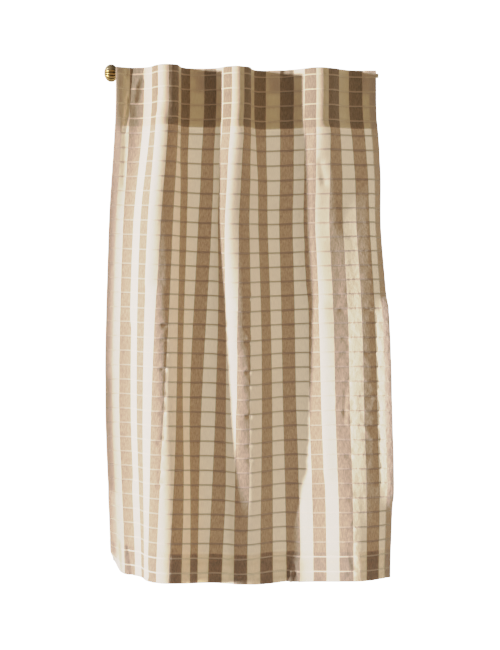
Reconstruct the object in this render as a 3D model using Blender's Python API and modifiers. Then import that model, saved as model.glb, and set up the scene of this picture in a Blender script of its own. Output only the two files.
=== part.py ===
# Cafe curtain hanging in uneven folds from a slim brass rod with one fluted ball finial.
# Metres, +Z up. The origin is on the rod's axis at mid-length, the front of the cloth faces -Y.

import math
from collections import namedtuple

import bmesh
import bpy
from mathutils import Matrix, Vector

for old in list(bpy.data.objects):
    bpy.data.objects.remove(old, do_unlink=True)

# Cloth
STRIPE = 0.0254            # width of one woven stripe
STRIPES = 25
DROP = 0.914               # finished length, top edge to bottom edge
SINGLE = 0.0012            # thickness of one layer
DOUBLE = 0.0024            # thickness of a turned-back layer on its face cloth
HEADING = 0.104            # depth of the turned-back heading
HEM = 0.052                # depth of the bottom hem
SIDE_HEM = 0.0125          # width of each side hem
HEM_STEP = 0.0008          # run over which a layer ends
TOP_ABOVE_ROD = 0.008      # top edge above the rod's axis
CREST_SOFTNESS = 0.34      # rounding of crests and valleys, in stripes
EASE = 0.5                 # 0 straight flanks, 1 wave-shaped flanks

# Rod and finial
ROD_RADIUS = 0.0040
ROD_RIGHT = 0.2447         # plain end
ROD_LEFT = -0.2152
BALL_CENTRE = -0.2323
BALL_HALF_LENGTH = 0.0124
BALL_RADIUS = 0.0155
COLLAR_RADIUS = 0.0062
COLLAR_END = -0.2155
FLUTES = 16
FLUTE_TURN = math.radians(7.5)   # flutes turned round the rod, one groove just below the middle
FLUTE_DEPTH = 0.0011

# Hanging loops behind the heading
LOOP_WIDTH = 0.020
LOOP_LENGTH = 0.036        # rod's axis to the sewn ends
LOOP_SLACK = 0.0005
GAP = 0.0003
LOOP_PLACES = (1.3, 8.75, 16.6, 24.1)   # in stripes from the left edge

# The face of the cloth lies this far in front of the rod's axis where it touches the loops.
FACE = ROD_RADIUS + LOOP_SLACK + SINGLE + GAP + DOUBLE

# Levels below the top edge at which every fold line is given
LEVELS = (0.045, 0.285, 0.600, 0.880)

# One row per fold line, with four values each, one per level:
# across is in stripes from the left edge, forward and lift are in millimetres.
FoldLine = namedtuple("FoldLine", "name across forward lift")
FOLD_LINES = (
    FoldLine("left edge",     (0.0, 0.0, 0.0, 0.0),      (8, -12, -27, -43),     (0, 6, 6, 20)),
    FoldLine("left foot",     (1.6, 0.6, 0.5, 0.7),      (1, -18, -33, -47),     (0, 5, 7, 9)),
    FoldLine("first crest",   (5.0, 5.0, 6.1, 6.9),      (68, 62, 70, 78),       (-5, -2, 6, 15)),
    FoldLine("first valley",  (8.0, 9.0, 9.8, 11.3),     (1, -14, -2, -1),       (0, 0, 1, 1)),
    FoldLine("second foot",   (9.1, 9.6, 10.6, 12.4),    (0, -21, -7, -4),       (0, 0, 0, -1)),
    FoldLine("second crest",  (12.6, 12.4, 13.6, 13.3),  (67, 37, 43, 19),       (-7, -6, -2, 1)),
    FoldLine("second valley", (15.7, 17.2, 17.9, 17.1),  (1, -37, -15, -13),     (-3, -1, 2, 3)),
    FoldLine("third foot",    (17.4, 17.9, 18.6, 17.8),  (0, -42, -2, -3),       (-1, 1, 2, 1)),
    FoldLine("third crest",   (20.4, 20.0, 21.3, 22.3),  (48, -5, 29, 51),       (-4, 0, 5, 10)),
    FoldLine("right foot",    (23.3, 23.8, 22.5, 23.3),  (3, -19, 35, 36),       (-1, 3, 4, 9)),
    FoldLine("right edge",    (25.0, 25.0, 25.0, 25.0),  (0, -34, 22, 15),       (0, 3, 4, 11)),
)
LEFT_EDGE = (-0.2236, -0.2361, -0.2436, -0.2355)


def at_level(values, down):
    """A value given at the four levels, read at any distance below the top edge."""
    last = len(LEVELS) - 1
    down = min(max(down, LEVELS[0]), DROP)
    i = max(k for k in range(last) if down >= LEVELS[k])

    def trend(k):
        if k == 0:
            return 0.0
        if k == last:
            return 0.6 * (values[k] - values[k - 1]) / (LEVELS[k] - LEVELS[k - 1])
        return (values[k + 1] - values[k - 1]) / (LEVELS[k + 1] - LEVELS[k - 1])

    run = LEVELS[i + 1] - LEVELS[i]
    s = (down - LEVELS[i]) / run
    return ((2 * s ** 3 - 3 * s ** 2 + 1) * values[i]
            + (s ** 3 - 2 * s ** 2 + s) * run * trend(i)
            + (3 * s ** 2 - 2 * s ** 3) * values[i + 1]
            + (s ** 3 - s ** 2) * run * trend(i + 1))


def between_lines(across, heights, place):
    """Eased value between the two fold lines on either side of a place."""
    i = max(k for k in range(len(across) - 1) if place >= across[k] or k == 0)
    s = min(max((place - across[i]) / (across[i + 1] - across[i]), 0.0), 1.0)
    eased = (1 - EASE) * s + EASE * (3 * s * s - 2 * s ** 3)
    return heights[i] + (heights[i + 1] - heights[i]) * eased


def softened(values, step):
    """The same row of values with its corners rounded."""
    reach = int(3 * CREST_SOFTNESS / step)
    weights = [math.exp(-0.5 * (k * step / CREST_SOFTNESS) ** 2) for k in range(-reach, reach + 1)]
    total = sum(weights)
    count = len(values)

    def sample(k):
        if k < 0:
            return 2 * values[0] - values[-k]
        if k >= count:
            return 2 * values[-1] - values[2 * count - 2 - k]
        return values[k]

    return [sum(w * sample(i + k - reach) for k, w in enumerate(weights)) / total
            for i in range(count)]


SAMPLES = 20               # points worked out per stripe


def cross_section(down):
    """Face of the cloth at one distance below the top edge: x, forward and lift per sample."""
    across = [at_level(line.across, down) for line in FOLD_LINES]
    forward = [at_level(line.forward, down) / 1000 for line in FOLD_LINES]
    lift = [at_level(line.lift, down) / 1000 for line in FOLD_LINES]
    places = [k / SAMPLES for k in range(STRIPES * SAMPLES + 1)]
    out = softened([between_lines(across, forward, p) for p in places], 1 / SAMPLES)
    up = softened([between_lines(across, lift, p) for p in places], 1 / SAMPLES)
    x = [at_level(LEFT_EDGE, down)]
    run = STRIPE / SAMPLES
    for a, b in zip(out, out[1:]):
        slope = min(abs(b - a) / run, 0.985)
        x.append(x[-1] + run * math.sqrt(1 - slope * slope))
    return x, out, up


def cloth_point(section, place, down):
    """Point on the face of the cloth, place in stripes from the left edge."""
    x, out, up = section
    t = min(max(place * SAMPLES, 0.0), len(x) - 1.0)
    k = min(int(t), len(x) - 2)
    f = t - k
    mix = [row[k] + (row[k + 1] - row[k]) * f for row in (x, out, up)]
    return Vector((mix[0], -FACE - mix[1], TOP_ABOVE_ROD - down + mix[2]))


def spread(start, end, count):
    """Evenly spaced values after start, up to and with end."""
    return [start + (end - start) * (k + 1) / count for k in range(count)]


def material(name, colour, roughness, metallic=0.0):
    made = bpy.data.materials.new(name)
    made.use_nodes = True
    shader = made.node_tree.nodes["Principled BSDF"]
    shader.inputs["Base Color"].default_value = (*colour, 1.0)
    shader.inputs["Roughness"].default_value = roughness
    shader.inputs["Metallic"].default_value = metallic
    return made


def place_object(obj, name, look):
    obj.name = name
    obj.data.name = name
    obj.data.materials.append(look)
    home = bpy.data.collections.new(name)
    bpy.context.scene.collection.children.link(home)
    for other in list(obj.users_collection):
        other.objects.unlink(obj)
    home.objects.link(obj)
    return obj


def sheet_from_grid(name, columns, rows, point_at, look):
    """Open grid of columns by rows, each vertex put where point_at says, and its places."""
    bm = bmesh.new()
    bmesh.ops.create_grid(bm, x_segments=columns - 1, y_segments=rows - 1, size=1.0)
    places = []
    for vertex in bm.verts:
        column = round((vertex.co.x + 1) / 2 * (columns - 1))
        row = round((1 - vertex.co.y) / 2 * (rows - 1))
        places.append((column, row))
        vertex.co = point_at(column, row)
    mesh = bpy.data.meshes.new(name)
    bm.to_mesh(mesh)
    bm.free()
    return place_object(bpy.data.objects.new(name, mesh), name, look), places


linen = material("striped linen", (0.60, 0.52, 0.42), 0.85)
tape = material("linen tape", (0.62, 0.55, 0.45), 0.85)
brass = material("aged brass", (0.42, 0.30, 0.12), 0.35, 1.0)
gilt = material("gilt brass", (0.75, 0.52, 0.16), 0.28, 1.0)

# Curtain panel: one cloth with its heading, bottom hem and side hems turned to the back
side = SIDE_HEM / STRIPE
step = HEM_STEP / STRIPE
column_places = ([0.0, side, side + step]
                 + spread(side + step, STRIPES - side - step, 84)
                 + [STRIPES - side, float(STRIPES)])
row_depths = ([0.0] + spread(0.0, HEADING, 5) + [HEADING + HEM_STEP]
              + spread(HEADING + HEM_STEP, DROP - HEM - HEM_STEP, 17)
              + [DROP - HEM] + spread(DROP - HEM, DROP, 3))
sections = [cross_section(down) for down in row_depths]


def panel_point(column, row):
    return cloth_point(sections[row], column_places[column], row_depths[row])


panel, panel_places = sheet_from_grid("curtain_panel", len(column_places), len(row_depths),
                                      panel_point, linen)
turned = panel.vertex_groups.new(name="turned back")
for index, (column, row) in enumerate(panel_places):
    across, down = column_places[column] * STRIPE, row_depths[row]
    in_side_hem = across < SIDE_HEM + 1e-6 or across > STRIPES * STRIPE - SIDE_HEM - 1e-6
    if in_side_hem or down < HEADING + 1e-6 or down > DROP - HEM - 1e-6:
        turned.add([index], 1.0, "REPLACE")
cloth = panel.modifiers.new("Cloth", "SOLIDIFY")
cloth.thickness = DOUBLE
cloth.offset = -1.0
cloth.vertex_group = turned.name
cloth.thickness_vertex_group = SINGLE / DOUBLE

# Four hanging loops: strips of the same cloth folded over the rod, their two ends sewn
# one on the other behind the heading
ARC_STEPS = 12
strap_radius = ROD_RADIUS + LOOP_SLACK + SINGLE / 2
back_end = -strap_radius + SINGLE + GAP


def strap_path():
    """Middle of the strip as (y, z) points, from its front end over the rod to its back end."""
    points = [(-strap_radius, -LOOP_LENGTH + (LOOP_LENGTH * k) / 4) for k in range(4)]
    for k in range(ARC_STEPS + 1):
        turn = math.pi * k / ARC_STEPS
        points.append((-strap_radius * math.cos(turn), strap_radius * math.sin(turn)))
    points += [(strap_radius * 0.9, -0.006), (back_end, -LOOP_LENGTH + 0.009),
               (back_end, -LOOP_LENGTH)]
    return points


path = strap_path()
for number, place in enumerate(LOOP_PLACES, start=1):
    middle = cloth_point(cross_section(LEVELS[0]), place, LEVELS[0]).x

    def strap_point(column, row):
        y, z = path[row]
        return Vector((middle + LOOP_WIDTH * (column - 0.5), y, z))

    loop, _ = sheet_from_grid(f"hanging_loop_{number}", 2, len(path), strap_point, tape)
    strip = loop.modifiers.new("Strip", "SOLIDIFY")
    strip.thickness = SINGLE
    strip.offset = 0.0
    strip.use_even_offset = True

# Rod: plain slim bar with a flat right end
bpy.ops.mesh.primitive_cylinder_add(vertices=32, radius=ROD_RADIUS, depth=ROD_RIGHT - ROD_LEFT)
rod = place_object(bpy.context.object, "rod", brass)
rod.data.transform(Matrix.Rotation(math.pi / 2, 4, "Y"))
rod.location.x = (ROD_LEFT + ROD_RIGHT) / 2

# Finial: fluted ball with a short plain collar towards the rod
bpy.ops.mesh.primitive_uv_sphere_add(segments=FLUTES * 6, ring_count=20, radius=1.0)
finial = place_object(bpy.context.object, "finial", gilt)
COLLAR_FROM = 0.88         # share of the way from the tip where the collar starts


def finial_profile(share):
    """Distance along the rod from the ball's centre and radius, share 0 tip to 1 collar end."""
    meet = math.asin(COLLAR_RADIUS / BALL_RADIUS)
    if share <= COLLAR_FROM:
        angle = share / COLLAR_FROM * (math.pi - meet)
        return -BALL_HALF_LENGTH * math.cos(angle), BALL_RADIUS * math.sin(angle)
    run = (share - COLLAR_FROM) / (1 - COLLAR_FROM)
    start = BALL_HALF_LENGTH * math.cos(meet)
    end = COLLAR_END - BALL_CENTRE
    if run < 0.6:
        return start + (end - start) * run / 0.6, COLLAR_RADIUS
    return end, COLLAR_RADIUS * (1 - run) / 0.4


for vertex in finial.data.vertices:
    share = math.acos(min(max(vertex.co.z, -1.0), 1.0)) / math.pi
    turn = math.atan2(vertex.co.y, vertex.co.x)
    along, radius = finial_profile(share)
    if 0 < share < COLLAR_FROM:
        radius -= FLUTE_DEPTH * (radius / BALL_RADIUS) * (
            0.5 - 0.5 * math.cos(FLUTES * (turn - FLUTE_TURN)))
    vertex.co = Vector((BALL_CENTRE + along, radius * math.cos(turn), -radius * math.sin(turn)))
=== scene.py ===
# Striped cafe curtain on a slim brass rod with one fluted ball finial, hanging in uneven folds.
# Metres, +Z up, front towards -Y. The origin is on the rod's axis at mid-length.

import math
from collections import namedtuple

import bpy
import numpy as np
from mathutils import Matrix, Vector


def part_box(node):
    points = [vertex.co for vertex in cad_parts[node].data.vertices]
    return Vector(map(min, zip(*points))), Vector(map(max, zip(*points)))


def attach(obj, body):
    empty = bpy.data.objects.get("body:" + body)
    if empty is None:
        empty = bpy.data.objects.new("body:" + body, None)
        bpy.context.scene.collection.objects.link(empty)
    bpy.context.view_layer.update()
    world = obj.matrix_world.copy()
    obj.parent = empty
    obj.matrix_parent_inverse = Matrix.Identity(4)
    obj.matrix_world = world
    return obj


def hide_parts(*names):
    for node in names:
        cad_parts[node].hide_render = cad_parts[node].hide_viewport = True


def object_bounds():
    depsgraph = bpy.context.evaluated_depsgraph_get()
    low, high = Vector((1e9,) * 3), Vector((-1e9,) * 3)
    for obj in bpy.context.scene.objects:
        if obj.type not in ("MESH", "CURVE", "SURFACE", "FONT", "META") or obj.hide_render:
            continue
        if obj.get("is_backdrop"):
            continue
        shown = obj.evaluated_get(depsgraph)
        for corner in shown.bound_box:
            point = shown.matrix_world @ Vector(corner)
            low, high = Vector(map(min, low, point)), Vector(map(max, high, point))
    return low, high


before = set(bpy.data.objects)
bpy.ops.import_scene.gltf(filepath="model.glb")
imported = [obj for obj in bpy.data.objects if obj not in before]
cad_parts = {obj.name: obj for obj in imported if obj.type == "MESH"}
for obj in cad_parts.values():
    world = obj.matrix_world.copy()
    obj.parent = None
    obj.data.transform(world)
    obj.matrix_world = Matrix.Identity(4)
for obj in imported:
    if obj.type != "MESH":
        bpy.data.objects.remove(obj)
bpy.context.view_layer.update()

# CURTAIN CLOTH
# One length of light linen woven in broad cream and taupe stripes, with a thick cream cord woven
# in across it every 26 mm. The heading, the bottom hem and both side hems are turned to the back
# and sewn, so the cloth is double there and lets less light through.

STRIPE = 0.0254
STRIPES = 25
WIDTH = STRIPE * STRIPES
DROP = 0.914
HEADING = 0.104
HEM = 0.052
SIDE_HEM = 0.0125
CUT_WIDTH = WIDTH + 2 * SIDE_HEM
CUT_LENGTH = HEADING + DROP + HEM
SIDE_LAYER = 0.0007         # a side hem lies this far behind the face cloth
END_LAYER = 0.0014          # the heading and the bottom hem lie this far behind it
TOP_ABOVE_ROD = 0.008
FACE = 0.0084               # front of the cloth ahead of the rod's axis where it meets the loops
CORD_FIRST = 0.012          # first cord below the top edge
CORD_PITCH = 0.026

# Each fold line runs down the cloth through four levels below the top edge. Across is in stripes
# from the left edge, forward and lift are in millimetres.
LEVELS = (0.045, 0.285, 0.600, 0.880)
FoldLine = namedtuple("FoldLine", "name across forward lift")
FOLD_LINES = (
    FoldLine("left edge",     (0.0, 0.0, 0.0, 0.0),      (8, -12, -27, -43),     (0, 6, 6, 20)),
    FoldLine("left foot",     (1.6, 0.6, 0.5, 0.7),      (1, -18, -33, -47),     (0, 5, 7, 9)),
    FoldLine("first crest",   (5.0, 5.0, 6.1, 6.9),      (68, 62, 70, 78),       (-5, -2, 6, 15)),
    FoldLine("first valley",  (8.0, 9.0, 9.8, 11.3),     (1, -14, -2, -1),       (0, 0, 1, 1)),
    FoldLine("second foot",   (9.1, 9.6, 10.6, 12.4),    (0, -21, -7, -4),       (0, 0, 0, -1)),
    FoldLine("second crest",  (12.6, 12.4, 13.6, 13.3),  (67, 37, 43, 19),       (-7, -6, -2, 1)),
    FoldLine("second valley", (15.7, 17.2, 17.9, 17.1),  (1, -37, -15, -13),     (-3, -1, 2, 3)),
    FoldLine("third foot",    (17.4, 17.9, 18.6, 17.8),  (0, -42, -2, -3),       (-1, 1, 2, 1)),
    FoldLine("third crest",   (20.4, 20.0, 21.3, 22.3),  (48, -5, 29, 48),       (-4, 0, 5, 10)),
    FoldLine("right foot",    (23.3, 23.8, 22.5, 23.3),  (3, -19, 35, 36),       (-1, 3, 4, 9)),
    FoldLine("right edge",    (25.0, 25.0, 25.0, 25.0),  (0, -34, 22, 18),       (0, 3, 4, 11)),
)
LEFT_EDGE = (-0.2236, -0.2361, -0.2436, -0.2355)
CREST_SOFTNESS = 0.34       # rounding of crests and valleys, in stripes
EASE = 0.5                  # 0 for straight flanks, 1 for wave-shaped ones
STEEPEST = 0.985            # no flank turns nearer than this to straight forward
SAMPLES = 20                # per stripe, along a fold

# Creases run from one place on the cloth to another, across in stripes and down in metres.
# Reach is half the crease's width and push is how far it comes forward, both in millimetres.
Crease = namedtuple("Crease", "name across down to_across to_down reach push")
CREASES = (
    Crease("left edge forward",      0.00, 0.000, 0.05, 0.095, 13.0, 3.5),
    Crease("heading tuck",           1.16, 0.000, 0.86, 0.060, 2.2, -2.4),
    Crease("heading tuck low",       0.86, 0.056, 0.66, 0.112, 3.2, -2.6),
    Crease("heading tuck lip",       1.62, 0.004, 1.30, 0.060, 4.5, 1.5),
    Crease("tuck runs out",          0.72, 0.110, 0.90, 0.210, 5.0, -1.6),
    Crease("slant in first tan",     1.95, 0.008, 1.36, 0.036, 3.2, 1.8),
    Crease("dent by first tan",      2.02, 0.026, 1.66, 0.056, 4.4, -1.7),
    Crease("tuck at first crest",    4.05, 0.000, 3.95, 0.050, 3.4, -1.6),
    Crease("soft dent in crest",    20.30, 0.165, 20.60, 0.200, 7.0, -2.2),
    Crease("loop pull 1",            0.80, 0.000, 0.75, 0.018, 2.6, -1.8),
    Crease("loop pull 2",            8.30, 0.000, 8.40, 0.014, 2.6, -1.2),
    Crease("loop pull 3",           17.30, 0.000, 17.20, 0.016, 2.8, -2.6),
    Crease("loop pull 4",           17.65, 0.000, 17.75, 0.014, 2.6, 1.4),
    Crease("loop pull 5",           24.00, 0.000, 24.05, 0.018, 2.6, -2.2),
    Crease("crest dent",             4.30, 0.045, 4.05, 0.080, 4.0, -1.6),
    Crease("hem pinch",             17.38, 0.898, 17.34, 0.914, 2.6, 6.0),
    Crease("hem pinch left",        17.18, 0.888, 17.00, 0.914, 2.4, -2.6),
    Crease("hem pinch right",       17.58, 0.886, 17.78, 0.914, 2.6, -3.4),
    Crease("corner fold 1",          0.74, 0.856, 0.82, 0.914, 2.4, -1.6),
    Crease("corner fold 2",          1.22, 0.862, 1.58, 0.914, 2.8, -2.8),
    Crease("corner fold 3",          0.36, 0.864, 0.42, 0.914, 2.4, -1.0),
    Crease("right trough",          23.95, 0.440, 24.00, 0.740, 6.0, -2.6),
    Crease("right edge forward",    24.95, 0.430, 24.95, 0.760, 18.0, 6.5),
    Crease("left edge back",         0.00, 0.100, 0.00, 0.540, 12.0, -2.2),
    Crease("first crest rounds",     4.30, 0.080, 4.25, 0.380, 11.0, 2.0),
    Crease("first crest falls",      5.20, 0.100, 5.20, 0.380, 12.0, -2.6),
    Crease("left edge low",          0.00, 0.780, 0.00, 0.914, 13.0, -4.0),
    Crease("first tan dulls",        1.95, 0.470, 1.95, 0.730, 17.0, -3.0),
    Crease("first crest shoulder",   5.05, 0.000, 5.05, 0.095, 8.0, -1.6),
    Crease("second crest shoulder", 13.00, 0.000, 13.00, 0.095, 9.0, -2.8),
    Crease("third crest shoulder",  21.00, 0.000, 21.00, 0.095, 9.0, -2.8),
    Crease("hem dent 1",             4.60, 0.868, 4.90, 0.905, 5.0, -2.0),
    Crease("hem dent 2",            21.80, 0.862, 22.10, 0.890, 6.0, -1.6),
    Crease("third crest leans",     21.20, 0.110, 21.40, 0.290, 13.0, 2.6),
    Crease("second crest leans",    13.25, 0.120, 13.20, 0.270, 9.0, 1.6),
    Crease("left of third crest",   18.75, 0.420, 18.50, 0.720, 12.0, -3.6),
    Crease("third crest full",      20.10, 0.430, 20.20, 0.720, 16.0, 3.6),
    Crease("third crest dulls",     19.00, 0.330, 19.00, 0.385, 10.0, 1.8),
    Crease("last cream dulls",      22.00, 0.300, 22.00, 0.420, 10.0, 1.6),
    Crease("second crest full",     13.40, 0.290, 13.40, 0.420, 13.0, 2.8),
    Crease("second crest low",      13.00, 0.505, 13.20, 0.590, 14.0, -2.6),
    Crease("second crest tail",     14.20, 0.640, 14.30, 0.760, 12.0, 2.6),
    Crease("first tan edge",         5.98, 0.480, 6.10, 0.660, 2.2, -1.4),
    Crease("low ridge",             14.10, 0.700, 14.50, 0.914, 10.0, 2.2),
    Crease("low third foot",        17.80, 0.780, 17.80, 0.862, 14.0, -2.6),
    Crease("hem foot",              17.85, 0.880, 17.80, 0.914, 8.0, 2.2),
    Crease("drag in last tan 1",    23.20, 0.556, 23.95, 0.574, 5.0, 1.8),
    Crease("drag in last tan 2",    23.95, 0.588, 23.60, 0.606, 4.5, 1.8),
    Crease("drag in last tan 3",    23.15, 0.612, 23.85, 0.622, 4.5, 1.6),
    Crease("drag in last tan 4",    23.15, 0.645, 23.60, 0.662, 5.0, 1.4),
    Crease("drag in last tan 5",    23.20, 0.520, 23.60, 0.530, 4.5, 1.0),
    Crease("hook in third crest",   21.72, 0.575, 21.60, 0.632, 2.8, -2.2),
    Crease("hook lip",              21.95, 0.590, 21.90, 0.640, 3.4, 1.2),
)

# The cloth kinks along some of its cords. Push is in millimetres, over the cords counted from
# the top edge, and lean is how far the kinked band drifts to the right, in stripes a cord.
Kinks = namedtuple("Kinks", "name from_across to_across first_cord last_cord lean push")
KINKS = (
    Kinks("on the first crest",   5.50, 5.98, 17, 28, 0.012, -4.6),
    Kinks("second crest flank",  13.55, 14.00, 15, 27, 0.020, -3.6),
    Kinks("third crest flank",   21.45, 21.95, 15, 34, 0.010, -3.0),
    Kinks("right edge",          24.20, 24.90, 14, 27, 0.000, -0.9),
    Kinks("in the last tan",     23.15, 23.70, 13, 27, 0.010, -1.8),
    Kinks("left of third crest", 19.20, 20.40, 11, 24, 0.030, -0.7),
)
DIP_BELOW_CORD = 0.0035     # a kink is a dip below its cord and a lesser rise above it
DIP_REACH = 0.0035
RISE_ABOVE_CORD = 0.0045
RISE_REACH = 0.0055
RISE_SHARE = 0.6

CORNER_CURL = 0.013         # the bottom left corner curls back and up by this much
CORNER_CURL_WAY = (0.35, 0.55, 1.0)
CORNER_WIDTH = 0.012
CORNER_HEIGHT = 0.020

LOW_HEM = 0.0045            # the bottom edge hangs this much lower right of the second crest
LOW_HEM_ACROSS = 15.8       # middle and half-width of that place, in stripes
LOW_HEM_HALF = 1.7
LOW_HEM_HEIGHT = 0.014


def at_level(values, down):
    """A value given at the four levels, read at any distance below the top edge."""
    last = len(LEVELS) - 1
    down = min(max(down, LEVELS[0]), DROP)
    i = max(k for k in range(last) if down >= LEVELS[k])

    def trend(k):
        if k == 0:
            return 0.0
        if k == last:
            return 0.6 * (values[k] - values[k - 1]) / (LEVELS[k] - LEVELS[k - 1])
        return (values[k + 1] - values[k - 1]) / (LEVELS[k + 1] - LEVELS[k - 1])

    run = LEVELS[i + 1] - LEVELS[i]
    s = (down - LEVELS[i]) / run
    return ((2 * s ** 3 - 3 * s ** 2 + 1) * values[i]
            + (s ** 3 - 2 * s ** 2 + s) * run * trend(i)
            + (3 * s ** 2 - 2 * s ** 3) * values[i + 1]
            + (s ** 3 - s ** 2) * run * trend(i + 1))


def softened(values):
    """The same row of values with its corners rounded."""
    reach = int(3 * CREST_SOFTNESS * SAMPLES)
    offsets = np.arange(-reach, reach + 1) / SAMPLES
    weights = np.exp(-0.5 * (offsets / CREST_SOFTNESS) ** 2)
    before = 2 * values[0] - values[reach:0:-1]
    after = 2 * values[-1] - values[-2:-reach - 2:-1]
    return np.convolve(np.concatenate([before, values, after]), weights / weights.sum(), "valid")


def cross_section(down):
    """Face of the cloth at one distance below the top edge: x, forward and lift per sample."""
    across = np.array([at_level(line.across, down) for line in FOLD_LINES])
    places = np.arange(STRIPES * SAMPLES + 1) / SAMPLES
    i = np.clip(np.searchsorted(across, places, side="right") - 1, 0, len(across) - 2)
    s = np.clip((places - across[i]) / (across[i + 1] - across[i]), 0, 1)
    eased = (1 - EASE) * s + EASE * (3 * s ** 2 - 2 * s ** 3)
    curves = []
    for field in ("forward", "lift"):
        at = np.array([at_level(getattr(line, field), down) for line in FOLD_LINES]) / 1000
        curves.append(softened(at[i] + (at[i + 1] - at[i]) * eased))
    out, up = curves
    run = STRIPE / SAMPLES
    slope = np.minimum(np.abs(np.diff(out)) / run, STEEPEST)
    x = at_level(LEFT_EDGE, down) + np.concatenate([[0], np.cumsum(run * np.sqrt(1 - slope ** 2))])
    return x, out, up


def pushed(across, down):
    """How far the listed creases and kinks bring the cloth forward, in metres."""
    total = np.zeros(across.shape)
    for crease in CREASES:
        start = np.array([crease.across * STRIPE, crease.down])
        way = np.array([crease.to_across * STRIPE, crease.to_down]) - start
        along = ((across * STRIPE - start[0]) * way[0] + (down - start[1]) * way[1]) / (way @ way)
        nearest = np.clip(along, 0, 1)
        away = np.hypot(across * STRIPE - start[0] - nearest * way[0],
                        down - start[1] - nearest * way[1]) * 1000
        total += crease.push / 1000 * np.exp(-(away / crease.reach) ** 2)
    for band in KINKS:
        half = (band.to_across - band.from_across) / 2
        for cord in range(band.first_cord, band.last_cord + 1):
            level = CORD_FIRST + cord * CORD_PITCH
            middle = (band.from_across + band.to_across) / 2 + band.lean * (cord - band.first_cord)
            # No two cords kink equally deep or at quite the same place across.
            uneven = 0.55 + 0.45 * math.sin(cord * 2.4 + band.from_across * 3.0)
            shift = 0.25 * half * math.sin(cord * 1.7 + band.to_across)
            side = np.exp(-((across - middle - shift) / half) ** 4)
            dip = np.exp(-((down - level - DIP_BELOW_CORD) / DIP_REACH) ** 2)
            rise = np.exp(-((down - level + RISE_ABOVE_CORD) / RISE_REACH) ** 2)
            total += band.push / 1000 * uneven * side * (dip - RISE_SHARE * rise)
    return total


def evenly(start, end, runs):
    """Places from start to end, with this many equal runs between them."""
    return [start + (end - start) * k / runs for k in range(runs + 1)]


def folded_edge(radius, steps):
    """Turned edge as (distance in from the edge, distance behind the face) pairs, back to front."""
    angles = [math.pi * (k + 0.5) / steps for k in range(steps)]
    return [(radius * (1 - math.sin(a)), radius * (1 + math.cos(a))) for a in angles]


def hem_to_hem(length, hems, runs, layer, face_inset, hem_inset, turn_step):
    """Places from the sewn edge of one hem, round both folded edges, to that of the other hem.

    Each is (place on the face, distance behind the face, place on the flat cut). The insets say
    how far from the folded edge the flat part of the face and of a hem begins.
    """
    edge = folded_edge(layer / 2, 4)
    places = [(place, layer, -place) for place in evenly(hems[0], hem_inset, runs[0])]
    places += [(near, behind, (k - 2) * turn_step) for k, (near, behind) in enumerate(edge)]
    places += [(place, 0.0, place) for place in evenly(face_inset, length - face_inset, runs[1])]
    places += [(length - near, behind, length + (k - 1) * turn_step)
               for k, (near, behind) in enumerate(reversed(edge))]
    places += [(length - place, layer, length + place)
               for place in evenly(hem_inset, hems[1], runs[2])]
    return places


def smooth_piece(name, points, faces):
    """A new smooth-shaded piece in the scene."""
    mesh = bpy.data.meshes.new(name)
    mesh.from_pydata(points, [], faces)
    mesh.polygons.foreach_set("use_smooth", [True] * len(faces))
    mesh.update()
    piece = bpy.data.objects.new(name, mesh)
    bpy.context.scene.collection.objects.link(piece)
    return piece


columns = hem_to_hem(WIDTH, hems=(SIDE_HEM, SIDE_HEM), runs=(5, 240, 5), layer=SIDE_LAYER,
                     face_inset=0.0008, hem_inset=0.0006, turn_step=0.0003)
rows = hem_to_hem(DROP, hems=(HEADING, HEM), runs=(16, 310, 9), layer=END_LAYER,
                  face_inset=0.0014, hem_inset=0.0012, turn_step=0.0005)
across, behind_across, flat_across = np.array(columns).T
down, behind_down, flat_down = np.array(rows).T
across = across / STRIPE

face = np.zeros((len(rows), len(columns), 3))
forward_way = np.zeros(face.shape)
for r, level in enumerate(down):
    x, out, up = cross_section(level)
    places = np.arange(len(x)) / SAMPLES
    face[r, :, 0] = np.interp(across, places, x)
    face[r, :, 1] = -FACE - np.interp(across, places, out)
    face[r, :, 2] = TOP_ABOVE_ROD - level + np.interp(across, places, up)
    corner = (math.exp(-((DROP - level) / CORNER_HEIGHT) ** 2)
              * np.exp(-(across * STRIPE / CORNER_WIDTH) ** 2))
    face[r] += CORNER_CURL * corner[:, None] * np.array(CORNER_CURL_WAY)
    low_hem = (math.exp(-((DROP - level) / LOW_HEM_HEIGHT) ** 2)
               * np.exp(-((across - LOW_HEM_ACROSS) / LOW_HEM_HALF) ** 2))
    face[r, :, 2] -= LOW_HEM * low_hem
    forward_way[r, :, 0] = -np.interp(across, places, np.gradient(out))
    forward_way[r, :, 1] = -np.interp(across, places, np.gradient(x))
forward_way /= np.linalg.norm(forward_way, axis=2, keepdims=True)

behind = behind_down[:, None] + behind_across[None, :]
points = face + forward_way * (pushed(*np.meshgrid(across, down)) - behind)[:, :, None]
index = np.arange(behind.size).reshape(behind.shape)
quads = np.stack([index[:-1, :-1], index[1:, :-1], index[1:, 1:], index[:-1, 1:]], axis=-1)
quads = quads.reshape(-1, 4)
curtain = smooth_piece("curtain_cloth", points.reshape(-1, 3).tolist(), quads.tolist())

flat_u = (flat_across + SIDE_HEM) / CUT_WIDTH
flat_v = 1 - (flat_down + HEADING) / CUT_LENGTH
flat = np.stack(np.meshgrid(flat_u, flat_v), axis=-1).reshape(-1, 2)
flat_map = curtain.data.uv_layers.new(name="OFBake")
flat_map.data.foreach_set("uv", flat[quads.reshape(-1)].reshape(-1).astype(np.float32))


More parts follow.
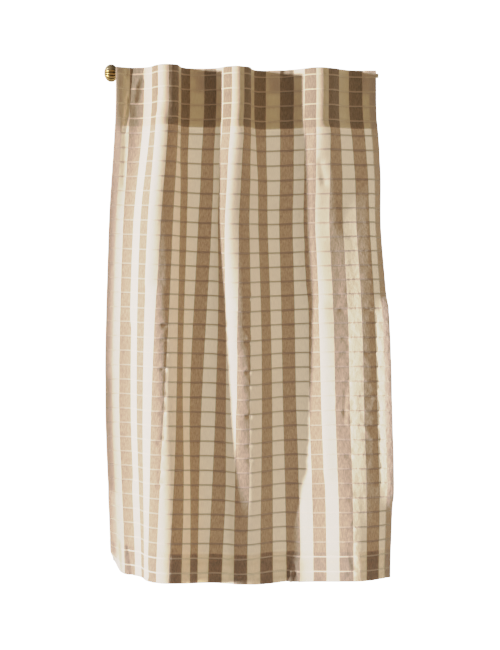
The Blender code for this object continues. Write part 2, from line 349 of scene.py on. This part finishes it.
class Wire:
    """A shader socket that takes arithmetic, and makes other nodes in the same shader."""

    def __init__(self, tree, socket=None):
        self.tree = tree
        self.socket = socket

    def node(self, kind, settings=None, inputs=None, output=0):
        """One of the outputs of a new node, or a blank wire where the node has none."""
        made = self.tree.nodes.new(kind)
        for name, value in (settings or {}).items():
            setattr(made, name, value)
        for name, value in (inputs or {}).items():
            if isinstance(value, Wire):
                self.tree.links.new(value.socket, made.inputs[name])
            else:
                made.inputs[name].default_value = value
        return Wire(self.tree, made.outputs[output] if made.outputs else None)

    def other_output(self, output):
        """Another output of the node that this socket is on."""
        return Wire(self.tree, self.socket.node.outputs[output])

    def maths(self, operation, *terms):
        return self.node("ShaderNodeMath", {"operation": operation}, dict(enumerate(terms)))

    def __add__(self, other):
        return self.maths("ADD", self, other)

    def __radd__(self, other):
        return self.maths("ADD", other, self)

    def __sub__(self, other):
        return self.maths("SUBTRACT", self, other)

    def __rsub__(self, other):
        return self.maths("SUBTRACT", other, self)

    def __mul__(self, other):
        return self.maths("MULTIPLY", self, other)

    def __rmul__(self, other):
        return self.maths("MULTIPLY", other, self)

    def __truediv__(self, other):
        return self.maths("DIVIDE", self, other)

    def __rtruediv__(self, other):
        return self.maths("DIVIDE", other, self)

    def step(self, low, high):
        """0 below low, 1 above high, with a smooth change between."""
        return self.node("ShaderNodeMapRange", {"interpolation_type": "SMOOTHSTEP"},
                         {"Value": self, "From Min": low, "From Max": high})

    def mix(self, colour_a, colour_b, blend="MIX"):
        """This value as the share of colour_b in a mix with colour_a."""
        return self.node("ShaderNodeMix", {"data_type": "RGBA", "blend_type": blend},
                         {0: self, 6: colour_a, 7: colour_b}, output=2)

    def noise(self, scale, detail=2.0, roughness=0.5, offset=(0.0, 0.0, 0.0)):
        """Soft noise from 0 to 1 on this place stretched by scale."""
        stretched = self.node("ShaderNodeMapping", {"vector_type": "POINT"},
                              {"Vector": self, "Location": offset, "Scale": scale})
        return self.node("ShaderNodeTexNoise", {"noise_dimensions": "2D"},
                         {"Vector": stretched, "Scale": 1.0, "Detail": detail,
                          "Roughness": roughness})


def blank_look(owner):
    """The emptied shader of a material or a world."""
    owner.use_nodes = True
    owner.node_tree.nodes.clear()
    return Wire(owner.node_tree)


def tinted(colour, red, green, blue):
    """A colour with each of its parts multiplied."""
    return (colour[0] * red, colour[1] * green, colour[2] * blue, 1)


CREAM = (0.90, 0.80, 0.72, 1)
TAUPE = (0.335, 0.279, 0.213, 1)
CORD_ON_CREAM = (0.74, 0.63, 0.51, 1)
CORD_ON_TAUPE = (0.46, 0.37, 0.30, 1)
# painted lightening: lighter copies of the cord colours, used where the cloth is doubled
CORD_PAINTED_PALER_ON_CREAM = (0.88, 0.77, 0.64, 1)       # the cords look paler on doubled cloth
CORD_PAINTED_PALER_ON_TAUPE = (0.62, 0.51, 0.42, 1)
# painted shade for the thin band of ground just below each cord
SHADE_PAINTED_UNDER_CORD = (0.16, 0.12, 0.085, 1)
# painted shade that darkens and warms all of the heading's colour
HEADING_PAINTED_SHADE = (0.88, 0.84, 0.755, 1)
LIGHT_THROUGH_CREAM = (1.0, 0.86, 0.58, 1)
LIGHT_THROUGH_TAUPE = (1.0, 0.585, 0.33, 1)
LIGHT_THROUGH_HEM = (0.96, 0.88, 0.74, 1)
HEM_LINE = 0.0003           # half the soft line where a turned-back layer ends
WARP_PITCH = 0.0008
WEFT_PITCH = 0.0009

linen = bpy.data.materials.new("striped_linen")
look = blank_look(linen)
flat_place = look.node("ShaderNodeUVMap", {"uv_map": "OFBake"})
flat_x = look.node("ShaderNodeSeparateXYZ", {}, {0: flat_place})
across_m = flat_x * CUT_WIDTH - SIDE_HEM
down_m = (1 - flat_x.other_output(1)) * CUT_LENGTH - HEADING
cloth_place = look.node("ShaderNodeCombineXYZ", {}, {"X": across_m, "Y": down_m})

# Where the cloth is double, and where it is seen from the back as heading or hem
in_heading = 1 - down_m.step(HEADING - HEM_LINE, HEADING + HEM_LINE)
in_hem = down_m.step(DROP - HEM - HEM_LINE, DROP - HEM + HEM_LINE)
doubled = in_heading + in_hem
heading_back = 1 - down_m.step(-0.001, 0.001)
hem_back = down_m.step(DROP - 0.001, DROP + 0.001)

# Stripes, with edges that wander by a thread
wander = cloth_place.noise((60.0, 45.0, 1.0)) - 0.5
stripe_phase = (across_m + wander * 0.0007) / STRIPE - 0.5
tan = look.maths("PINGPONG", stripe_phase, 1.0).step(0.486, 0.514)

# Cords across the cloth, with a painted shade line just below each, where the ground is also
# gathered and lets less light through
cord_wander = cloth_place.noise((28.0, 3.0, 1.0), offset=(4.0, 9.0, 0.0)) - 0.5
cord_phase = (down_m - CORD_FIRST + cord_wander * 0.0012) / CORD_PITCH
cord_away = look.maths("PINGPONG", cord_phase, 0.5) * CORD_PITCH
cord = 1 - cord_away.step(0.0009, 0.0018)
under_cord = look.maths("WRAP", cord_phase, 1.0, 0.0) * CORD_PITCH
gather_and_painted_shade = ((1 - under_cord.step(0.0016, 0.0042)) * under_cord.step(0.0006, 0.0016)
          * (0.45 + tan * 0.55))

# Yarns: slubs run down the tan stripes and more faintly down the cream ones
slub = cloth_place.noise((900.0, 95.0, 1.0), detail=3.0, roughness=0.6)
fleck = cloth_place.noise((420.0, 150.0, 1.0), detail=3.0, roughness=0.65, offset=(7.0, 2.0, 0.0))
tan_yarn = (slub * 0.55 + fleck * 0.45).step(0.30, 0.72)
tan_colour = tan_yarn.mix(tinted(TAUPE, 0.78, 0.75, 0.72), tinted(TAUPE, 1.22, 1.24, 1.28))
cream_yarn = slub.step(0.25, 0.75)
cream_colour = cream_yarn.mix(tinted(CREAM, 0.90, 0.89, 0.87), tinted(CREAM, 1.03, 1.03, 1.04))
ground = tan.mix(cream_colour, tan_colour)
# painted shade: the ground just below each cord is darkened towards this colour
ground_with_painted_shade = (gather_and_painted_shade * 0.22).mix(ground, SHADE_PAINTED_UNDER_CORD)
# on doubled cloth the cords take the painted lighter copies of their colours
cord_colour = doubled.mix(tan.mix(CORD_ON_CREAM, CORD_ON_TAUPE),
                          tan.mix(CORD_PAINTED_PALER_ON_CREAM, CORD_PAINTED_PALER_ON_TAUPE))
# painted shade: the heading's colour, cords included, is multiplied by a darker, warmer tint
linen_colour = in_heading.mix(cord.mix(ground_with_painted_shade, cord_colour), HEADING_PAINTED_SHADE, blend="MULTIPLY")

# Relief in millimetres: cord, the swell of the cloth between cords, threads, slubs and small
# wrinkles, which are stronger in the tan stripes and strongest where the right edge is fretted
cord_round = 1 - cord_away.step(0.0002, 0.0016)
swell = look.maths("SINE", cord_phase * (2 * math.pi) + 4.7)
thread = (look.maths("SINE", across_m * (2 * math.pi / WARP_PITCH))
          + look.maths("SINE", down_m * (2 * math.pi / WEFT_PITCH)))
wrinkle = cloth_place.noise((75.0, 55.0, 1.0), detail=3.0, roughness=0.55, offset=(3.0, 3.0, 0.0))
fret = across_m.step(STRIPE * 21.4, STRIPE * 22.4) * down_m.step(0.20, 0.40)
wrinkle_height = 0.5 + tan * 1.3 + fret * (1.6 - tan * 1.3)
relief = (cord_round * 0.40 + swell * 0.10 + thread * 0.018
          + (slub - 0.5) * 0.22 + (wrinkle - 0.5) * wrinkle_height)
linen_bump = look.node("ShaderNodeBump", {}, {"Strength": 1.0, "Distance": 0.001, "Height": relief})

# Light that comes through: more in cream than in tan, less in cords, seams and doubled cloth, and a
# painted brightening that lets more through towards the bottom
broad = cloth_place.noise((22.0, 9.0, 1.0), offset=(1.0, 5.0, 0.0))
seam = (1 - look.maths("ABSOLUTE", down_m - (HEADING + 0.0016)).step(0.0005, 0.0012)
        + 1 - look.maths("ABSOLUTE", down_m - (DROP - HEM - 0.0016)).step(0.0005, 0.0012))
weave_and_painted_light = ((0.92 + broad * 0.16) * (1 - in_heading * 0.29) * (1 - heading_back * 0.10)
              * (1 - gather_and_painted_shade * 0.5) * (1 + seam * 0.22)
              # painted light: the lower cloth lets more light through
              * (1 + down_m.step(0.55, 0.85) * 0.14))
through_cream = ((1 - tan) * (0.40 - cord * (0.37 - in_hem * 0.16)) * (0.90 + cream_yarn * 0.2)
                 * weave_and_painted_light * (1 + hem_back * 1.4))
through_taupe = (tan * (0.167 - cord * 0.157) * (0.60 + tan_yarn * 0.8)
                 * weave_and_painted_light * (1 - hem_back * 0.10))

linen_front = look.node("ShaderNodeBsdfPrincipled", {},
                        {"Base Color": linen_colour, "Roughness": 0.88,
                         "Specular IOR Level": 0.25, "Sheen Weight": 0.12,
                         "Sheen Roughness": 0.5, "Normal": linen_bump})
glow_face = look.node("ShaderNodeBsdfTranslucent", {}, {"Color": LIGHT_THROUGH_CREAM})
glow_hem = look.node("ShaderNodeBsdfTranslucent", {}, {"Color": LIGHT_THROUGH_HEM})
glow_taupe = look.node("ShaderNodeBsdfTranslucent", {}, {"Color": LIGHT_THROUGH_TAUPE})
glow_cream = look.node("ShaderNodeMixShader", {}, {0: hem_back, 1: glow_face, 2: glow_hem})
lit_cream = look.node("ShaderNodeMixShader", {}, {0: through_cream, 1: linen_front, 2: glow_cream})
lit_linen = look.node("ShaderNodeMixShader", {}, {0: through_taupe, 1: lit_cream, 2: glow_taupe})
look.node("ShaderNodeOutputMaterial", {}, {"Surface": lit_linen})
curtain.data.materials.append(linen)

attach(curtain, "root")
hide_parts("curtain_panel")

# HANGING LOOPS
# Four strips of plain cream linen, each folded over the rod with its two ends sewn one on the
# other behind the heading, where the cloth lies against the rod.

LOOP_RADIUS = 0.0051        # from the rod's axis to the middle of the strip
LOOP_WIDTH = 0.020
LOOP_THICK = 0.0011
LOOP_CUP = 0.0003           # the back leg's edges stand out by this much
LOOP_ENDS_APART = 0.0015    # between the middles of the two sewn ends
LOOP_SEWN = 0.009           # length over which the ends lie together
LOOP_STEPS = 10             # across the strip
TAPE_SHADE = (0.56, 0.50, 0.41, 1)
TAPE_LIGHT = (0.74, 0.68, 0.58, 1)

loops = []
for number in range(1, 5):
    low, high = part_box(f"hanging_loop_{number}")
    middle = (low.x + high.x) / 2
    front, back = -LOOP_RADIUS, -LOOP_RADIUS + LOOP_ENDS_APART
    path = [(front, z) for z in evenly(low.z, 0.0, 8)[:-1]]
    for turn in evenly(0.0, math.pi, 24):
        path.append((-LOOP_RADIUS * math.cos(turn), LOOP_RADIUS * math.sin(turn)))
    foot = low.z + LOOP_SEWN
    for s in evenly(0.0, 1.0, 12)[1:]:
        path.append((LOOP_RADIUS + (back - LOOP_RADIUS) * (3 * s * s - 2 * s ** 3), foot * s))
    path += [(back, foot - LOOP_SEWN / 2), (back, low.z)]
    points, faces = [], []
    for y, z in path:
        for share in evenly(-0.5, 0.5, LOOP_STEPS):
            cup = LOOP_CUP * 4 * share * share if y > 0 else 0.0
            points.append((middle + LOOP_WIDTH * share, y + cup, z))
    for r in range(len(path) - 1):
        for c in range(LOOP_STEPS):
            a = r * (LOOP_STEPS + 1) + c
            faces.append((a, a + 1, a + LOOP_STEPS + 2, a + LOOP_STEPS + 1))
    loop = smooth_piece(f"loop_{number}", points, faces)
    strip = loop.modifiers.new("strip", "SOLIDIFY")
    strip.thickness = LOOP_THICK
    strip.offset = 0.0
    loops.append(loop)
    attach(loop, "root")
    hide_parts(f"hanging_loop_{number}")

tape = bpy.data.materials.new("linen_tape")
look = blank_look(tape)
weave = look.node("ShaderNodeTexCoord", output=3).noise((900.0, 900.0, 500.0))
tape_bump = look.node("ShaderNodeBump", {}, {"Strength": 0.6, "Distance": 0.0004, "Height": weave})
tape_front = look.node("ShaderNodeBsdfPrincipled", {},
                       {"Base Color": weave.step(0.3, 0.7).mix(TAPE_SHADE, TAPE_LIGHT),
                        "Roughness": 0.9, "Normal": tape_bump})
look.node("ShaderNodeOutputMaterial", {}, {"Surface": tape_front})
for loop in loops:
    loop.data.materials.append(tape)

# ROD
# A slim drawn brass bar, a little dulled, with a plain flat end on the right. It carries the
# four loops, and its left end runs into the finial's collar.

BRASS_BRIGHT = (0.80, 0.74, 0.60, 1)
BRASS_DULL = (0.60, 0.54, 0.41, 1)

brass = bpy.data.materials.new("dull_brass")
look = blank_look(brass)
place = look.node("ShaderNodeTexCoord", output=3)
drawn = place.noise((18.0, 900.0, 900.0), detail=3.0)
dulled = place.noise((60.0, 160.0, 160.0), detail=4.0, offset=(2.0, 0.0, 0.0))
rod_bump = look.node("ShaderNodeBump", {}, {"Strength": 0.15, "Distance": 0.0002, "Height": drawn})
rod_surface = look.node("ShaderNodeBsdfPrincipled", {},
                        {"Base Color": dulled.step(0.35, 0.7).mix(BRASS_BRIGHT, BRASS_DULL),
                         "Metallic": 1.0, "Roughness": 0.26 + drawn * 0.14 + dulled * 0.15,
                         "Normal": rod_bump})
look.node("ShaderNodeOutputMaterial", {}, {"Surface": rod_surface})
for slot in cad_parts["rod"].material_slots:
    slot.material = brass

# FINIAL
# A cast ball with soft flutes along it and a short collar, screwed on the rod's left end. It is
# gilt on the ribs, almost black in the grooves, and duller and darker on top.

BALL_CENTRE = -0.2323
BALL_HALF_LENGTH = 0.0124
BALL_RADIUS = 0.0155
COLLAR_RADIUS = 0.0062
COLLAR_END = -0.2155
COLLAR_ROUND = 0.0004       # the collar's end is broken by this much
FLUTES = 16
FLUTE_TURN = math.radians(-7.5)
FLUTE_DEPTH = 0.0014
FLUTE_STEPS = 240           # round the ball
BALL_RINGS = 64
GILT_RIB = (0.53, 0.35, 0.125, 1)
GILT_GROOVE = (0.024, 0.014, 0.005, 1)
TOP_DULLING_COLOUR = (0.155, 0.13, 0.075, 1)

# The ball's profile is x, radius, and 1 where it is fluted.
profile = []
for angle in evenly(0.0, math.pi - math.asin(COLLAR_RADIUS / BALL_RADIUS), BALL_RINGS):
    profile.append((BALL_CENTRE - BALL_HALF_LENGTH * math.cos(angle),
                    BALL_RADIUS * math.sin(angle), 1.0))
for x in evenly(profile[-1][0], COLLAR_END - COLLAR_ROUND, 4)[1:]:
    profile.append((x, COLLAR_RADIUS, 0.0))
profile += [(COLLAR_END, COLLAR_RADIUS - COLLAR_ROUND, 0.0), (COLLAR_END, 0.0, 0.0)]
points, faces = [], []
for x, radius, fluted in profile:
    for k in range(FLUTE_STEPS):
        turn = 2 * math.pi * k / FLUTE_STEPS
        wave = abs(math.cos(FLUTES * (turn - FLUTE_TURN) / 2)) ** 0.8
        depth = fluted * FLUTE_DEPTH * (1 - wave) * min(1.0, radius / BALL_RADIUS * 1.3)
        r = max(radius - depth, 0.0)
        points.append((x, r * math.cos(turn), r * math.sin(turn)))
for r in range(len(profile) - 1):
    for k in range(FLUTE_STEPS):
        a, b = r * FLUTE_STEPS + k, r * FLUTE_STEPS + (k + 1) % FLUTE_STEPS
        faces.append((a, b, b + FLUTE_STEPS, a + FLUTE_STEPS))
ball = smooth_piece("fluted_ball", points, faces)

gilt = bpy.data.materials.new("antique_gilt")
look = blank_look(gilt)
place = look.node("ShaderNodeTexCoord", output=3)
place_x = look.node("ShaderNodeSeparateXYZ", {}, {0: place})
place_y, place_z = place_x.other_output(1), place_x.other_output(2)
turn = look.maths("ARCTAN2", place_z, place_y)
groove = 1 - look.maths("ABSOLUTE", look.maths("COSINE", (turn - FLUTE_TURN) * (FLUTES / 2)))
worn = place.noise((350.0, 350.0, 350.0), detail=4.0)
dirt = (groove + (worn - 0.5) * 0.35).step(0.24, 0.66)
# the ball turns duller and darker towards its top
dull_top = (place_z + (worn - 0.5) * 0.004).step(0.0005, 0.006) * 0.85
gilt_surface = look.node("ShaderNodeBsdfPrincipled", {},
                         {"Base Color": dull_top.mix(dirt.mix(GILT_RIB, GILT_GROOVE), TOP_DULLING_COLOUR),
                          "Metallic": 1 - dull_top * 0.75,
                          "Roughness": 0.30 + dirt * 0.35 + worn * 0.1})
look.node("ShaderNodeOutputMaterial", {}, {"Surface": gilt_surface})
ball.data.materials.append(gilt)

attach(ball, "root")
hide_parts("finial")

# FLOOR, LIGHT AND CAMERA
# A plain pale floor below the curtain, strong soft daylight low from the left, dim warm light in
# front of the cloth and brighter daylight behind it.

FLOOR_SHADE = (0.80, 0.79, 0.77, 1)
FLOOR_LIGHT = (0.86, 0.85, 0.83, 1)

bpy.ops.mesh.primitive_plane_add(size=1.0, location=(0.0, -0.15, -1.20))
floor = bpy.context.object
floor.name = "floor"
floor.scale = (2.4, 1.5, 1.0)
pale = bpy.data.materials.new("pale_floor")
look = blank_look(pale)
mottle = look.node("ShaderNodeTexCoord", output=3).noise((6.0, 6.0, 6.0), detail=3.0)
floor_surface = look.node("ShaderNodeBsdfPrincipled", {},
                          {"Base Color": mottle.mix(FLOOR_SHADE, FLOOR_LIGHT), "Roughness": 0.7})
look.node("ShaderNodeOutputMaterial", {}, {"Surface": floor_surface})
floor.data.materials.append(pale)
floor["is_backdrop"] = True

SUN_OFF_CLOTH = math.radians(19.3)       # the light's angle in front of the cloth's plane
SUN_RISE = math.radians(3.0)
sun_data = bpy.data.lights.new("daylight", "SUN")
sun_data.energy = 8.8
sun_data.angle = math.radians(4.0)
sun_data.color = (1.0, 0.92, 0.89)
sun = bpy.data.objects.new("daylight", sun_data)
bpy.context.scene.collection.objects.link(sun)
to_sun = Vector((-math.cos(SUN_OFF_CLOTH) * math.cos(SUN_RISE),
                 -math.sin(SUN_OFF_CLOTH) * math.cos(SUN_RISE), math.sin(SUN_RISE)))
sun.rotation_mode = "QUATERNION"
sun.rotation_quaternion = to_sun.to_track_quat("Z", "Y")

FRONT_LEFT = (0.24, 0.20, 0.175, 1)
FRONT_RIGHT = (0.50, 0.37, 0.225, 1)
BEHIND_LOW = (1.52, 1.49, 1.41, 1)
BEHIND_HIGH = (0.30, 0.27, 0.22, 1)
world = bpy.data.worlds.new("light_all_round")
bpy.context.scene.world = world
look = blank_look(world)
way = look.node("ShaderNodeTexCoord")
to_right = look.node("ShaderNodeSeparateXYZ", {}, {0: way})
to_back, to_top = to_right.other_output(1), to_right.other_output(2)
light_in_front = to_right.step(-0.6, 0.6).mix(FRONT_LEFT, FRONT_RIGHT)
light_behind = to_top.step(0.25, 0.75).mix(BEHIND_LOW, BEHIND_HIGH)
light_round = to_back.step(-0.35, 0.35).mix(light_in_front, light_behind)
lighting = look.node("ShaderNodeBackground", {}, {"Color": light_round, "Strength": 1.0})
white = look.node("ShaderNodeBackground", {}, {"Color": (1, 1, 1, 1), "Strength": 5.5})
seen = look.node("ShaderNodeLightPath")
backdrop = look.node("ShaderNodeMixShader", {}, {0: seen, 1: lighting, 2: white})
look.node("ShaderNodeOutputWorld", {}, {"Surface": backdrop})

CAMERA_AWAY = 2.3
CAMERA_TURN = math.radians(3.0)
PIXEL = 0.001785            # metres of the curtain in one pixel
PICTURE_HEIGHT = 650
SENSOR = 36.0
target = Vector((0.0143, 0.0, -0.447))
camera_data = bpy.data.cameras.new("camera")
camera_data.sensor_width = SENSOR
camera_data.lens = SENSOR * (CAMERA_AWAY / PIXEL) / PICTURE_HEIGHT
camera_data.clip_end = 50.0
camera = bpy.data.objects.new("camera", camera_data)
bpy.context.scene.collection.objects.link(camera)
camera.location = target + Vector((-math.sin(CAMERA_TURN) * CAMERA_AWAY,
                                   -math.cos(CAMERA_TURN) * CAMERA_AWAY, 0.0))
camera.rotation_euler = (math.pi / 2, 0.0, -CAMERA_TURN)
bpy.context.scene.camera = camera

# Tones are pairs of light in and tone shown, up to the light that shows as white.
TONES = ((0.0, 0.0), (0.1, 0.1), (0.3, 0.29), (0.5, 0.42), (0.75, 0.585), (1.0, 0.70),
         (1.5, 0.78), (2.0, 0.83), (3.0, 0.90), (5.0, 1.0))
WHITE = TONES[-1][0]
settings = bpy.context.scene.view_settings
settings.view_transform = "Standard"
settings.use_curve_mapping = True
curve = settings.curve_mapping
curve.white_level = (WHITE, WHITE, WHITE)
tone = curve.curves[3]
for light_in, shown in TONES[1:-1]:
    tone.points.new(light_in / WHITE, shown)
curve.update()

low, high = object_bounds()
